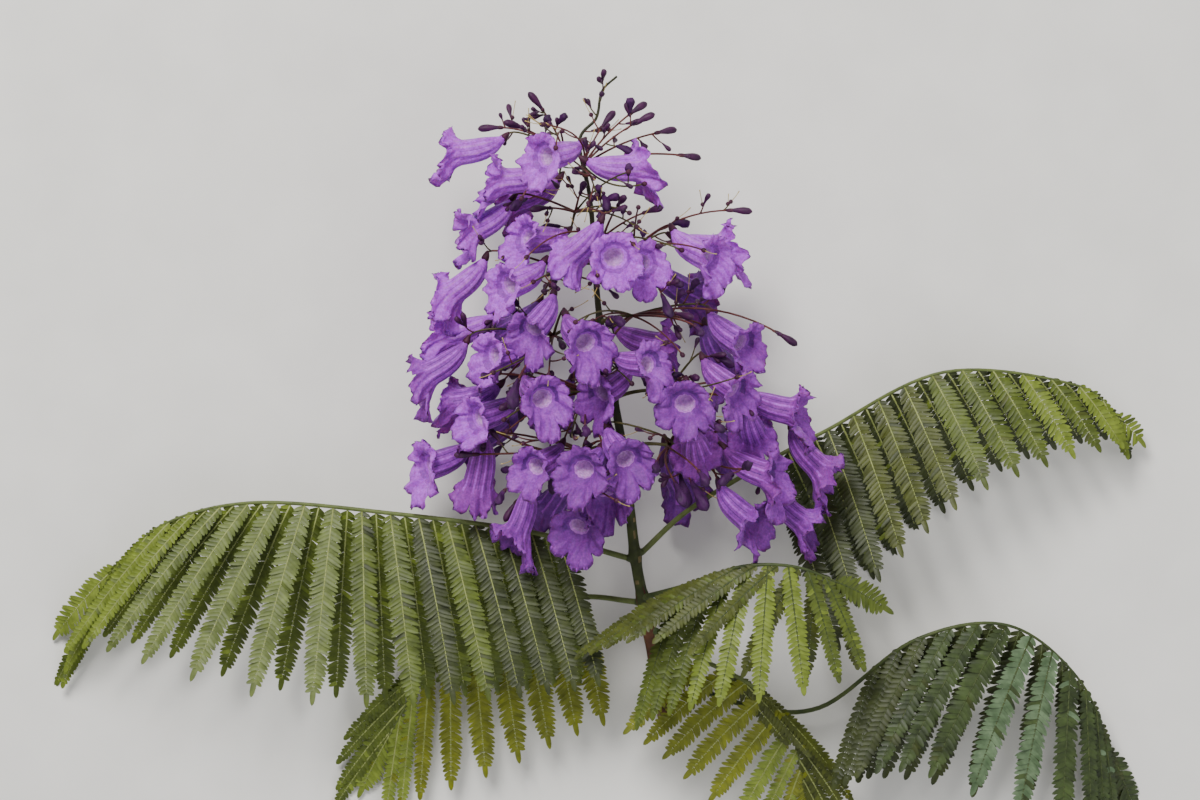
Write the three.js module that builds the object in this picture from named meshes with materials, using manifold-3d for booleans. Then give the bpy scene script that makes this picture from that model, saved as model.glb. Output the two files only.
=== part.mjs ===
// A flowering branch of jacaranda, cut from its tree and laid on its back.
// Millimetres, +Z up. X runs to the right and Y towards the tip of the flower head, and the floor is Z = 0.

import * as THREE from "three";
import { mergeVertices } from "three/addons/utils/BufferGeometryUtils.js";
import Module from "manifold-3d";

const wasm = await Module();
wasm.setup();

const { lerp, clamp, degToRad } = THREE.MathUtils;
const vector = (x, y, z) => new THREE.Vector3(x, y, z);
const DOWN = vector(0, -1, 0); // the way that blooms and leaves droop, while the branch grows

// Clear space between two pieces that carry each other
const GAP = 0.35;

// The stem, from its cut end over the first pair of leaves, at Y = 0, to the tip of the flower head
const STEM_PATH = [
  [17, -93, 3.9],
  [6, -32, 30],
  [0, 0, 44],
  [-7, 60, 58],
  [-19, 127, 64],
  [-24, 190, 66],
  [-30, 222, 67],
  [-21, 235, 68],
  [-18, 249, 69],
  [-10, 257, 70],
];
const STEM = { cutRadius: 3.7, tipRadius: 0.6, sides: 8, steps: 27 };

// The flower head: its outline's radius at its tip, where it is widest and at its foot, and how far it is pressed
// flat
const HEAD = { tipY: 240, tipRadius: 66, widestY: 50, widestRadius: 118, footRadius: 84, pressed: 0.72 };

// A bloom: straight length from calyx to rim, how far its belly hangs, and the reach of its five lobes and five
// notches. Along the bloom, all places are shares of its length.
const BLOOM = { length: 38, belly: 0.2, bellyAt: 0.36, sizeSpread: 0.07 };
const BLOOM_TUBE = [
  [2.2, 0.12],
  [6.2, 0.36],
  [7.8, 0.68],
];
const RIM = { lobe: 14.8, lobeAt: 0.98, notch: 10.4, notchAt: 0.86, lowerLonger: 0.1, lowerAhead: 0.1 };
const THROAT = { radius: 6.6, rimAt: 0.7, endAt: 0.36 };
const BLOOM_SIDES = 10;

// Balls that stand for a bloom while room is made: their share of its length and radius, and those of a lobe
const BALLS = [
  [0.1, 3],
  [0.4, 7],
  [0.68, 8.6],
  [0.9, 10],
];
const LOBE_BALL = { at: 0.7, radius: 0.33 };
const ROOM = { rounds: 70, step: 0.25, pushes: vector(0.35, 0.35, 1) };

// Twigs of the flower head, and its unopened buds
const TWIG = { stalkRadius: 1.1, forkRadius: 0.8, footRadius: 0.65, room: 1.6, arrival: [0.1, 0.3] };
TWIG.forkAt = [0.55, 0.45, 0.65, 0.35, 0.25];
TWIG.bows = [0.08, 0.16, 0.26, 0.38, 0.5, 0.65];
const BUD = { length: 13, radius: 2, neck: 0.6 };

// The sprays of the flower head. nodeY is where the spray leaves the stem.
// A bloom is its mouth's place X and Y, its share of the head's depth (1 in front, -1 on the floor side),
// its droop in degrees, and how many degrees it swings to the right. A bud, or a wilted bloom that has closed
// again, is its tip's X and Y, its share and its size.
// Blooms of the under side are fused to their spray.
const SPRAYS = [
  {
    name: "spray_top_left", nodeY: 216,
    blooms: [[-102, 216, 0.15, 16], [-56, 212, 0.95, 15, -20], [-79, 200, 0.25, 12]],
    under: [[-70, 192, -0.7, 20]],
    buds: [[-57, 248, 0.2], [-70, 232, 0.4], [-84, 229, 0]],
  },
  {
    name: "spray_top_right", nodeY: 205,
    blooms: [[8, 209, 0.55, 4, 50]],
    under: [],
    buds: [[-11, 238, 0.2], [6, 243, 0], [10, 236, 0.4], [22, 229, -0.1], [35, 214, -0.3]],
  },
  {
    name: "spray_upper_left", nodeY: 186,
    blooms: [[-94, 174, 0.35, 36], [-64, 170, 0.6, 7], [-39, 159, 0.4, 35, -100]],
    under: [],
    buds: [[-56, 185, 0.45], [-27, 199, 0.6]],
  },
  {
    name: "spray_upper_front", nodeY: 174,
    blooms: [[-11, 160, 1, 15], [8, 156, 0.7, 20, -5]],
    under: [],
    buds: [[14, 186, 0.6], [-6, 191, 0.8]],
  },
  {
    name: "spray_middle_left", nodeY: 158,
    blooms: [[-104, 138, 0.1, 41, -25], [-75, 143, 0.85, 25], [-60, 116, 0.8, 45]],
    under: [[-74, 120, -0.7, 35]],
    buds: [],
  },
  {
    name: "spray_middle_right", nodeY: 158,
    blooms: [[46, 157, 0.75, 31, -10], [54, 167, 0, 10]],
    under: [[38, 140, -0.7, 30]],
    buds: [[18, 128, 0.7, 1.3], [62, 185, 0.2]],
  },
  {
    name: "spray_left", nodeY: 127,
    blooms: [
      [-108, 117, 0.1, 20], [-117, 96, 0.4, 38], [-83, 107, 0.8, 20],
      [-104, 86, 0.05, 17, -27], [-20, 111, 0.85, 30, 32],
    ],
    under: [[-92, 62, -0.6, 30]],
    buds: [[-66, 132, 0.5], [-38, 112, 0.4]],
  },
  {
    name: "spray_right", nodeY: 127,
    blooms: [[14, 104, 0.95, 10, 25], [64, 111, 0.45, 35, -25]],
    under: [[22, 113, 0.1, 20], [54, 97, -0.4, 60]],
    buds: [[86, 114, 0.2], [30, 128, 0.6]],
  },
  {
    name: "spray_low_left", nodeY: 87,
    blooms: [[-92, 74, 0.6, 22, 12], [-57, 48, 0.85, 25], [-44, 84, 0.9, 22, 50], [-26, 84, 0.5, 35, -30]],
    under: [[-50, 78, -0.8, 35]],
    buds: [[-72, 80, 0.6]],
  },
  {
    name: "spray_low_right", nodeY: 87,
    blooms: [[24, 82, 0.9, 22, -30], [59, 86, 0.8, 37], [64, 68, 0.15, 29, 86], [91, 76, 0.65, 20]],
    under: [[56, 56, -0.75, 40]],
    buds: [[32, 96, 0.6]],
  },
  {
    name: "spray_foot_left", nodeY: 60,
    blooms: [
      [-120, 48, 0.3, 23, 25], [-86, 34, 0.2, 66, -75], [-67, 8, 0.5, 75],
      [-33, 48, 0.9, 20], [-18, 25, 0.7, 70, 30], [-32, 14, 0.95, 45],
    ],
    under: [[-50, 22, -0.7, 55]],
    buds: [[-70, 20, 0.2], [-96, 56, 0.6]],
  },
  {
    name: "spray_foot_right", nodeY: 60,
    blooms: [
      [105, 44, 0.1, 52], [79, 43, 0.6, 27], [67, 18, 0.85, 43],
      [96, 16, 0.5, 46], [-1, 50, 0.8, 35, 25], [32, 59, 0.35, 20, 120],
    ],
    under: [[30, 34, -0.7, 50]],
    buds: [[27, 28, 0.5, 1.5], [37, 27, 0.75, 1.6], [58, 52, 0.95, 1.3]],
  },
];

// The leaves. rootY is where the leaf stalk leaves the stem, path the stalk and midrib that follow, bare the share of
// it with no leaflets. near and far are the ways that the two rows of side ribs hang, reach is the length of the first
// and the last, and fan is how far those lean towards the leaf's tip.
const LEAF = { stalkRadius: 1.5, tipRadius: 0.6, thickness: 1.1, sag: 0.14, tipReach: 0.5, lastPair: 0.97 };
LEAF.restZ = 1.5;
LEAF.opened = 0.9; // how far the blades turn their faces up
LEAF.halfWidth = 7.5;
LEAF.outline = [0.12, 0.95, 1, 0.3];
const FRONDS = [
  {
    name: "frond_left", rootY: 0, bare: 0.13, pairs: 17, reach: [80, 92], fan: [-0.22, 3.6],
    path: [[-56, 14, 47], [-128, 24, 52], [-204, 30, 50], [-254, 18, 38], [-284, -8, 22]],
    near: [0.12, -1, 0.3], far: [0.05, -0.9, -0.28],
  },
  {
    name: "frond_right", rootY: 3, bare: 0.3, pairs: 13, reach: [112, 32], fan: [0.25, 1.4],
    path: [[28, 25, 34], [66, 48, 20], [103, 68, 22], [166, 100, 44], [238, 93, 34], [264, 74, 20]],
    near: [0.1, -1, 0.35], far: [0.15, -0.8, -0.45],
  },
  {
    name: "frond_front", rootY: -21, bare: 0.25, pairs: 9, reach: [78, 54], fan: [-0.1, 1.4],
    path: [[26, -14, 66], [56, -3, 84], [84, -3, 86], [108, -12, 78]],
    near: [-0.3, -1, 0.15], far: [-0.9, -0.45, 0.1],
  },
  {
    name: "frond_low_left", rootY: -24, bare: 0.2, pairs: 9, reach: [66, 60], fan: [-0.05, 1.4],
    path: [[-32, -22, 26], [-74, -34, 20], [-112, -62, 14], [-134, -98, 8]],
    near: [0.2, -1, 0.02], far: [-0.85, -0.5, -0.1],
  },
  {
    name: "frond_low_right", rootY: -62, bare: 0.42, pairs: 12, reach: [70, 84], fan: [-0.6, 1.4],
    path: [[55, -80, 10], [100, -82, 22], [150, -44, 46], [200, -36, 46], [240, -66, 30], [262, -112, 10]],
    near: [-0.15, -1, 0.35], far: [0.1, -0.9, -0.3],
  },
  {
    name: "frond_low_middle", rootY: -40, bare: 0.25, pairs: 8, reach: [58, 46], fan: [-0.05, 1.4],
    path: [[34, -54, 34], [64, -70, 36], [84, -94, 30], [92, -124, 16]],
    near: [-0.8, -0.6, 0.1], far: [0.75, -0.65, 0],
  },
];

const COLOURS = { bark: "#4a3a26", twig: "#3d2a2c", petal: "#8a5cc4", leaf: "#4d6b2c" };
const finish = (colour, roughness) => new THREE.MeshStandardMaterial({ color: colour, roughness, metalness: 0 });
const MATERIALS = {
  bark: finish(COLOURS.bark, 0.8),
  twig: finish(COLOURS.twig, 0.7),
  petal: finish(COLOURS.petal, 0.6),
  leaf: finish(COLOURS.leaf, 0.6),
};

// Solids

function solidOf(geometry) {
  const bare = geometry.clone();
  bare.deleteAttribute("normal");
  bare.deleteAttribute("uv");
  const merged = mergeVertices(bare, 1e-4);
  return new wasm.Manifold(
    new wasm.Mesh({
      numProp: 3,
      vertProperties: merged.attributes.position.array,
      triVerts: new Uint32Array(merged.index.array),
    }),
  );
}

function geometryOf(solid) {
  const { vertProperties, triVerts } = solid.getMesh();
  return new THREE.BufferGeometry()
    .setAttribute("position", new THREE.BufferAttribute(vertProperties, 3))
    .setIndex(new THREE.BufferAttribute(triVerts, 1));
}

// Edges shorter than this, left where pieces meet, are drawn together
const SLIVER = 0.02;

// One solid of many that meet. A hollow that they close between them is filled, and a scrap that is left loose is
// dropped.
function fuse(geometries) {
  const whole = geometries.map(solidOf).reduce((sum, piece) => sum.add(piece));
  const bodies = whole.decompose();
  return bodies.reduce((most, body) => (body.volume() > most.volume() ? body : most)).simplify(SLIVER);
}

function meshOf(name, solid, material) {
  const mesh = new THREE.Mesh(geometryOf(solid), material);
  mesh.name = name;
  return mesh;
}

// A limb, bud or blade: a cylinder whose rings follow a curve. wide and thick give its half sizes along the
// curve, ringAt the place of each ring, and up any direction that the curve never runs in.
function sweep(curve, { wide, thick = wide, sides, steps, up = crossTo(curve), ringAt = (t) => t }) {
  const body = new THREE.CylinderGeometry(1, 1, 1, sides, steps);
  const vertices = body.attributes.position;
  for (let i = 0; i < vertices.count; i++) {
    const t = ringAt(clamp(vertices.getY(i) + 0.5, 0, 1));
    const along = curve.getTangent(t);
    const side = vector(0, 0, 0).crossVectors(along, up).normalize();
    const rise = vector(0, 0, 0).crossVectors(side, along);
    const place = curve
      .getPoint(t)
      .addScaledVector(side, vertices.getX(i) * wide(t))
      .addScaledVector(rise, vertices.getZ(i) * thick(t));
    vertices.setXYZ(i, place.x, place.y, place.z);
  }
  return body;
}

// The axis that a curve runs along the least
function crossTo(curve) {
  const run = curve.getPoint(1).sub(curve.getPoint(0)).normalize();
  return Math.abs(run.z) < 0.7 ? vector(0, 0, 1) : vector(0, 1, 0);
}

// A smooth bow from one point to another, its middle moved by lift. It comes in along arrival, where that is
// given.
function bow(from, to, lift, arrival) {
  const early = from.clone().lerp(to, 1 / 3).add(lift);
  const late = from.clone().lerp(to, 2 / 3).add(lift);
  if (arrival) {
    const run = to.clone().sub(from);
    const ahead = Math.max(arrival.dot(run) / run.length(), 0);
    late.copy(to).addScaledVector(arrival, -run.length() * lerp(...TWIG.arrival, ahead));
  }
  return new THREE.CubicBezierCurve3(from, early, late, to);
}

// The stem

const smooth = (points) => new THREE.CatmullRomCurve3(points, false, "catmullrom", 0.5);
const stemCurve = smooth(STEM_PATH.map((p) => vector(...p)));
const [cutY, tipY] = [STEM_PATH[0][1], STEM_PATH.at(-1)[1]];
const stemRadius = (y) => lerp(STEM.cutRadius, STEM.tipRadius, clamp((y - cutY) / (tipY - cutY), 0, 1));

// The stem's middle at a height Y, found by halving
function stemAt(y) {
  let [low, high] = [0, 1];
  for (let i = 0; i < 30; i++) {
    const middle = (low + high) / 2;
    if (stemCurve.getPoint(middle).y < y) low = middle;
    else high = middle;
  }
  return stemCurve.getPoint(low);
}

const stem = () => sweep(stemCurve, { wide: (t) => stemRadius(stemCurve.getPoint(t).y), ...STEM });

// Where a twig or leaf stalk starts: clear of the stem's bark, on the side of its first target
function leaveStem(y, target, radius) {
  const middle = stemAt(y);
  const way = target.clone().sub(middle).normalize();
  const away = way.clone().setY(0).normalize();
  const lean = Math.sqrt(Math.max(1 - way.dot(away) ** 2, 0));
  return middle.addScaledVector(away, stemRadius(y) * 1.04 + GAP + radius * lean);
}

// Blooms

function headRadius(y) {
  if (y < HEAD.widestY) return lerp(HEAD.footRadius, HEAD.widestRadius, clamp(y / HEAD.widestY, 0, 1));
  const share = clamp((y - HEAD.widestY) / (HEAD.tipY - HEAD.widestY), 0, 1);
  return lerp(HEAD.widestRadius, HEAD.tipRadius, share);
}

// A point of the flower head from its place in the picture and its share of the head's depth there
function inHead(x, y, share) {
  const middle = stemAt(y);
  const across = x - middle.x;
  const reach = Math.sqrt(Math.max(headRadius(y) ** 2 - across ** 2, 20 ** 2));
  return vector(x, y, middle.z + share * HEAD.pressed * reach);
}

// Repeatable variation between -1 and 1
const vary = (index) => ((index * 0.618034) % 1) * 2 - 1;

// A bloom's mouth, the way it faces, its upper side and its size
function placeBloom([x, y, share, droop, swing = 0], index) {
  const mouth = inHead(x, y, share);
  const outward = mouth.clone().sub(stemAt(y)).setY(0).normalize();
  outward.applyAxisAngle(vector(0, 1, 0), degToRad(swing));
  const facing = outward.clone().multiplyScalar(Math.cos(degToRad(droop)));
  facing.addScaledVector(DOWN, Math.sin(degToRad(droop)));
  const up = outward.clone().multiplyScalar(0.6).sub(DOWN);
  up.addScaledVector(facing, -up.dot(facing)).normalize();
  return { mouth, facing, up, size: 1 + BLOOM.sizeSpread * vary(index) };
}

const bloomLength = (bloom) => BLOOM.length * bloom.size;
const footOf = (bloom) => bloom.mouth.clone().addScaledVector(bloom.facing, -bloomLength(bloom));

function bloomCurve(bloom) {
  const foot = footOf(bloom);
  const belly = foot
    .clone()
    .addScaledVector(bloom.facing, BLOOM.bellyAt * bloomLength(bloom))
    .addScaledVector(bloom.up, -BLOOM.belly * bloomLength(bloom));
  return new THREE.QuadraticBezierCurve3(foot, belly, bloom.mouth);
}

// The rim's five lobes stand between five notches. The lower lobe is the longest, and the upper two fold
// back.
function lobe(turn) {
  const lowness = -Math.cos(turn);
  const reach = RIM.lobe * (1 + RIM.lowerLonger * lowness);
  return { reach, forward: RIM.lobeAt + RIM.lowerAhead * lowness };
}

// A bloom's solid: a lathe of the tube, the rim and the throat, bent along the bloom's curve
function bloomBody(bloom) {
  const rimRow = BLOOM_TUBE.length + 1;
  const profile = [
    [0, 0],
    ...BLOOM_TUBE,
    [RIM.notch, RIM.notchAt],
    [THROAT.radius, THROAT.rimAt],
    [0, THROAT.endAt],
  ].map((p) => new THREE.Vector2(...p));
  const body = new THREE.LatheGeometry(profile, BLOOM_SIDES);
  const vertices = body.attributes.position;
  const curve = bloomCurve(bloom);
  const side = vector(0, 0, 0).crossVectors(bloom.facing, bloom.up);
  for (let i = 0; i < vertices.count; i++) {
    const [row, column] = [i % profile.length, Math.floor(i / profile.length)];
    const turn = (column / BLOOM_SIDES) * 2 * Math.PI;
    let [radius, forward] = [profile[row].x, profile[row].y];
    if (row === rimRow && column % 2 === 1) {
      radius = lobe(turn).reach;
      forward = lobe(turn).forward;
    }
    const t = clamp(forward, 0, 1);
    const along = curve.getTangent(t);
    const rise = vector(0, 0, 0).crossVectors(side, along);
    const place = curve
      .getPoint(t)
      .addScaledVector(along, (forward - t) * bloomLength(bloom))
      .addScaledVector(side, Math.sin(turn) * radius * bloom.size)
      .addScaledVector(rise, Math.cos(turn) * radius * bloom.size);
    vertices.setXYZ(i, place.x, place.y, place.z);
  }
  return body;
}

// Balls that stand for a bloom while room is made around it: three along its tube and one for each lobe.
// Each has its place from the mouth, and its radius.
function ballsOf(bloom) {
  const curve = bloomCurve(bloom);
  const place = (share) => curve.getPoint(share).sub(bloom.mouth);
  const balls = BALLS.map(([share, radius]) => ({ share, from: place(share), radius }));
  const side = vector(0, 0, 0).crossVectors(bloom.facing, bloom.up);
  for (let k = 0; k < 5; k++) {
    const turn = ((k + 0.5) / 5) * 2 * Math.PI;
    const reach = lobe(turn).reach * bloom.size;
    const from = side.clone().multiplyScalar(Math.sin(turn) * LOBE_BALL.at * reach);
    from.addScaledVector(bloom.up, Math.cos(turn) * LOBE_BALL.at * reach);
    balls.push({ share: 1, from, radius: LOBE_BALL.radius * reach });
  }
  return balls;
}

// Pushes blooms that crowd each other, the stem or the floor apart, mostly in depth, so that the picture
// stays
function setApart(blooms) {
  const balls = blooms.map(ballsOf);
  const lowest = balls.map((own) => Math.max(...own.map(({ from, radius }) => radius - from.z)));
  const near = 2 * (BLOOM.length + RIM.lobe);
  for (let round = 0; round < ROOM.rounds; round++) {
    for (let i = 0; i < blooms.length; i++) {
      const a = blooms[i].mouth;
      for (let j = i + 1; j < blooms.length; j++) {
        const b = blooms[j].mouth;
        if (a.distanceTo(b) > near) continue;
        for (const ballA of balls[i]) {
          for (const ballB of balls[j]) {
            const apart = a.clone().add(ballA.from).sub(b).sub(ballB.from);
            const crowded = ballA.radius + ballB.radius - apart.length();
            if (crowded <= 0) continue;
            apart.normalize().multiply(ROOM.pushes).multiplyScalar(crowded * ROOM.step);
            a.add(apart);
            b.sub(apart);
          }
        }
      }
      for (const { from, radius } of balls[i]) {
        const ball = a.clone().add(from);
        const apart = ball.clone().sub(stemAt(ball.y)).setY(0);
        const crowded = radius + stemRadius(ball.y) + 1 - apart.length();
        if (crowded > 0) a.addScaledVector(apart.normalize(), crowded * ROOM.step);
      }
      a.z = Math.max(a.z, lowest[i]);
    }
  }
}

// Sprays: a stalk from the stem to a fork, and from there a twig to each bloom's foot and each bud

// Everything that twigs keep clear of, as balls that name their owner
const taken = [];

function roomAt(point, owners) {
  const stemMiddle = stemAt(point.y);
  let room = Math.hypot(point.x - stemMiddle.x, point.z - stemMiddle.z) - stemRadius(point.y);
  for (const { at, radius, owner } of taken) {
    if (!owners.includes(owner)) room = Math.min(room, point.distanceTo(at) - radius);
  }
  return room;
}

// The bow between two points that bends the least and still keeps clear
function clearBow(from, to, owners, shares, arrival) {
  const run = to.clone().sub(from);
  const length = run.length();
  run.normalize();
  const first = DOWN.clone().negate().addScaledVector(run, DOWN.dot(run));
  if (first.length() < 0.1) first.set(0, 0, 1).addScaledVector(run, -run.z);
  first.normalize();
  let best = { room: -Infinity };
  for (const amount of TWIG.bows) {
    for (let k = 0; k < 12; k++) {
      const turn = (k % 2 ? -1 : 1) * Math.ceil(k / 2) * (Math.PI / 6);
      const lift = first.clone().applyAxisAngle(run, turn).multiplyScalar(amount * length);
      const curve = bow(from, to, lift, arrival);
      const room = Math.min(...shares.map((t) => roomAt(curve.getPoint(t), owners)));
      if (room > best.room + 0.2) best = { room, curve };
      if (best.room > TWIG.room) return best.curve;
    }
  }
  return best.curve;
}

function take(curve, owner, wide) {
  for (let k = 0; k <= 12; k++) taken.push({ at: curve.getPoint(k / 12), radius: wide(k / 12), owner });
}

const TWIG_SHARES = [0.15, 0.3, 0.45, 0.6, 0.75, 0.88];
const BUD_SHARES = [...TWIG_SHARES, 0.95, 1];

// A twig's rings: its start, its middle and its end
function twig(curve, owner) {
  const wide = (t) => lerp(TWIG.forkRadius, TWIG.footRadius, t);
  take(curve, owner, wide);
  return sweep(curve, { wide, sides: 3, steps: 3 });
}

// A bud on its twig. Its rings are the twig's start and end, the bud's thickest place and the bud's tip.
function bud(curve, owner, size) {
  const share = (BUD.length * size) / curve.getLength();
  const radius = BUD.radius * size;
  const places = [0, 0.5 * (1 - share), 1 - share, 1 - 0.35 * share, 1];
  const radii = [TWIG.forkRadius, BUD.neck, BUD.neck, radius, radius * 0.5];
  const ringAt = (t) => places[Math.round(t * 4)];
  const wide = (t) => radii[places.indexOf(t)];
  take(curve, owner, (t) => (t > 1 - share ? radius : BUD.neck));
  return sweep(curve, { wide, sides: 3, steps: 4, ringAt });
}

// The middle of a list of points
function middleOf(points) {
  return points.reduce((sum, p) => sum.add(p), vector(0, 0, 0)).divideScalar(points.length);
}

// The fork of a spray: on the way from the stem to the middle of its blooms' feet, where there is room
function forkOf(spray) {
  const node = stemAt(spray.nodeY);
  const feet = [...spray.open, ...spray.fused].map(footOf);
  const centre = middleOf(feet);
  let best = { room: -Infinity };
  for (const share of TWIG.forkAt) {
    for (const aside of [0, 8, -8, 16, -16, 24, -24]) {
      const fork = node.clone().lerp(centre, share).add(vector(0, Math.abs(aside) / 2, aside));
      const room = roomAt(fork, []);
      if (room > best.room + 0.5) best = { room, fork };
      if (best.room > 2 * TWIG.room) return best.fork;
    }
  }
  return best.fork;
}

function spraySolid(spray) {
  const { name } = spray;
  const fork = forkOf(spray);
  const start = leaveStem(spray.nodeY, fork, TWIG.stalkRadius);
  const stalkWide = (t) => lerp(TWIG.stalkRadius, TWIG.forkRadius, t);
  const stalk = clearBow(start, fork, [name], TWIG_SHARES.slice(1));
  stalk.v0.copy(leaveStem(spray.nodeY, stalk.v1, TWIG.stalkRadius));
  take(stalk, name, stalkWide);
  const pieces = [sweep(stalk, { wide: stalkWide, sides: 4, steps: 3 })];
  for (const bloom of spray.open) {
    const base = bloomCurve(bloom).getTangent(0);
    const foot = footOf(bloom).addScaledVector(base, -GAP);
    pieces.push(twig(clearBow(fork, foot, [name, bloom], TWIG_SHARES, base), name));
  }
  for (const bloom of spray.fused) {
    const foot = footOf(bloom).addScaledVector(bloomCurve(bloom).getTangent(0), 3);
    pieces.push(twig(clearBow(fork, foot, [name, bloom], TWIG_SHARES), name));
    pieces.push(bloomBody(bloom));
  }
  for (const [x, y, share, size = 1] of spray.buds) {
    pieces.push(bud(clearBow(fork, inHead(x, y, share), [name], BUD_SHARES), name, size));
  }
  return fuse(pieces);
}

// Leaves: a midrib with two rows of side ribs, each a thin blade as wide as its leaflets. The ribs of one row leave
// the midrib between those of the other.

const rowLength = (u, [first, last]) =>
  lerp(first, last, Math.sqrt(u)) * (0.7 + 0.3 * Math.sin(Math.PI * (0.15 + 0.75 * u)));

function sideRib(root, way, forward, length, halfWidth) {
  const tip = root.clone().addScaledVector(way, length).addScaledVector(DOWN, LEAF.sag * length);
  const middle = root.clone().addScaledVector(way, 0.5 * length);
  tip.z = Math.max(tip.z, LEAF.restZ);
  middle.z = Math.max(middle.z, LEAF.restZ);
  const up = vector(0, 0, 0).crossVectors(forward, way).normalize();
  if (up.z < 0) up.negate();
  up.z += LEAF.opened;
  const wide = (t) => halfWidth * LEAF.outline[Math.round(t * 3)];
  const thick = (t) => LEAF.thickness * (t > 0.9 || t < 0.1 ? 0.5 : 0.9);
  return sweep(new THREE.QuadraticBezierCurve3(root, middle, tip), { wide, thick, sides: 3, steps: 3, up });
}

function frondSolid({ rootY, path, bare, pairs, reach, fan, near, far }) {
  const points = path.map((p) => vector(...p));
  const midrib = smooth([leaveStem(rootY, points[0], LEAF.stalkRadius), ...points]);
  const wide = (t) => lerp(LEAF.stalkRadius, LEAF.tipRadius, t);
  const pieces = [sweep(midrib, { wide, sides: 4, steps: 14, up: vector(0, 0, 1) })];
  const spacing = (midrib.getLength() * (LEAF.lastPair - bare)) / (pairs - 1);
  for (const [offset, row] of [[0, near], [0.5, far]]) {
    for (let k = 0; k < pairs; k++) {
      const u = (k + offset) / (pairs - 0.5);
      const t = midrib.getUtoTmapping(lerp(bare, LEAF.lastPair, u));
      const forward = midrib.getTangent(t);
      const way = vector(...row).normalize().addScaledVector(forward, lerp(...fan, u ** 3)).normalize();
      const across = vector(0, 0, 0).crossVectors(way, forward).length();
      const halfWidth = Math.min(LEAF.halfWidth, 0.46 * spacing * across);
      const root = midrib.getPoint(t).addScaledVector(way, 0.5 * wide(t));
      pieces.push(sideRib(root, way, forward, rowLength(u, reach), halfWidth));
    }
  }
  const end = midrib.getTangent(1);
  const lastWay = vector(...near).normalize();
  pieces.push(sideRib(midrib.getPoint(0.985), end, lastWay, reach[1] * LEAF.tipReach, LEAF.halfWidth));
  return fuse(pieces);
}

// The whole branch, moved so that the middle of its outline lies over the origin

let bloomCount = 0;
const placeAll = (list) => list.map((row) => placeBloom(row, bloomCount++));
const sprays = SPRAYS.map((spray) => {
  return { ...spray, open: placeAll(spray.blooms), fused: placeAll(spray.under) };
});
const allBlooms = sprays.flatMap((spray) => [...spray.open, ...spray.fused]);
setApart(allBlooms);
for (const bloom of allBlooms) {
  for (const { share, from, radius } of ballsOf(bloom)) {
    taken.push({ at: bloom.mouth.clone().add(from), radius, owner: share < 0.5 ? bloom : null });
  }
}

const branch = new THREE.Group();
branch.add(meshOf("stem", solidOf(stem()), MATERIALS.bark));
for (const spray of sprays) branch.add(meshOf(spray.name, spraySolid(spray), MATERIALS.twig));
sprays.flatMap((spray) => spray.open).forEach((bloom, i) => {
  branch.add(meshOf(`bloom_${String(i + 1).padStart(2, "0")}`, solidOf(bloomBody(bloom)), MATERIALS.petal));
});
for (const frond of FRONDS) branch.add(meshOf(frond.name, frondSolid(frond), MATERIALS.leaf));

const outline = new THREE.Box3().setFromObject(branch);
const centre = outline.getCenter(vector(0, 0, 0));
branch.position.set(-centre.x, -centre.y, -outline.min.z);

export default branch;
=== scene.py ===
# A flowering branch of jacaranda, lying on its back on a pale studio floor, seen from straight above.
# Lengths are millimetres until a mesh is made, and Y = 0 is where the first pair of leaves leaves the stem.

import math
import random

import bpy
import numpy as np
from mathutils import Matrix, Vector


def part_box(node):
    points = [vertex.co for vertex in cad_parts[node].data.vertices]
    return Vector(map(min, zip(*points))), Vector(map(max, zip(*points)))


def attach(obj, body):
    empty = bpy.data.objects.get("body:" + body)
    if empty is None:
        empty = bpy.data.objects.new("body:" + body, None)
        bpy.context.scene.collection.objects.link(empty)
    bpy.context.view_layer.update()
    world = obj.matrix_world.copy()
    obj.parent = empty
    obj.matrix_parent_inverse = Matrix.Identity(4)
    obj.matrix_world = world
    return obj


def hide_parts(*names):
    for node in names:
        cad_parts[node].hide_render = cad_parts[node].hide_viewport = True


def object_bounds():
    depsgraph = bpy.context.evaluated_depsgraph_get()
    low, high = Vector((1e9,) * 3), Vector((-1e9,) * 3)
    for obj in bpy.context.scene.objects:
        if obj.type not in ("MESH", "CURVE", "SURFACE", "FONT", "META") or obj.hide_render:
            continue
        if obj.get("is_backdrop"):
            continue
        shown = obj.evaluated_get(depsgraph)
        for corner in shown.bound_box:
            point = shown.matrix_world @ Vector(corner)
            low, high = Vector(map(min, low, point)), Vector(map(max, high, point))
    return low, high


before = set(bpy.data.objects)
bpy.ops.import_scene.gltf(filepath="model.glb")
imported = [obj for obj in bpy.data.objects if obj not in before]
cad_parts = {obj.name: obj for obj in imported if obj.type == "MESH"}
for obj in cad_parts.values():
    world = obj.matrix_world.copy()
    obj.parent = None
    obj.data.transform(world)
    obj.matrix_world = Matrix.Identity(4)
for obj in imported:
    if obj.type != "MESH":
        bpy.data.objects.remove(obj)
cad_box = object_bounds()

# Layout, by the rule of the part's source

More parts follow.
